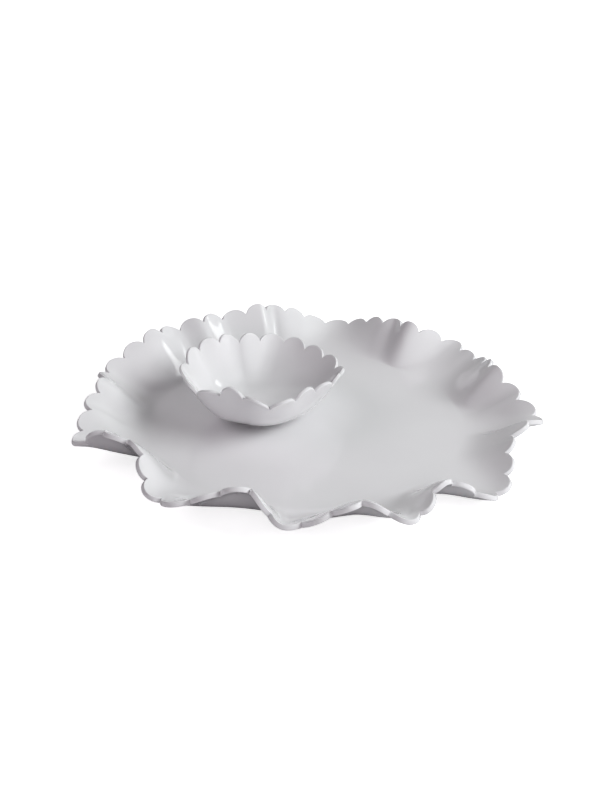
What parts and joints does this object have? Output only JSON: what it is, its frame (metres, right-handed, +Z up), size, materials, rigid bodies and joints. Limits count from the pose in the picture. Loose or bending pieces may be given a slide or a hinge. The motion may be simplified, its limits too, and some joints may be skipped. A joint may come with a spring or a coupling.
{
  "type": "chip and dip server",
  "caption": "Wide shallow platter with a ruffled, scalloped rim for chips, and a small matching scalloped dip bowl that stands loose on its floor.",
  "frame": {"origin": "middle of the whole set's footprint, at the bottom of the platter's foot", "axes": "+Z up; -Y is the side the picture is taken from, with the dip bowl standing left of the middle (towards -X) and a little back (towards +Y)"},
  "size_m": [0.4128, 0.4154, 0.0639],
  "materials": {
    "platter_melamine": "glossy white moulded melamine",
    "bowl_melamine": "glossy white moulded melamine"
  },
  "bodies": {
    "platter": {"platter": "platter_melamine"},
    "dip_bowl": {"dip_bowl": "bowl_melamine"}
  },
  "joints": [
    {"name": "bowl_lift", "type": "slide", "parent": "platter", "child": "dip_bowl", "axis": [0, 0, 1], "range_m": [0, 0.12]}
  ]
}
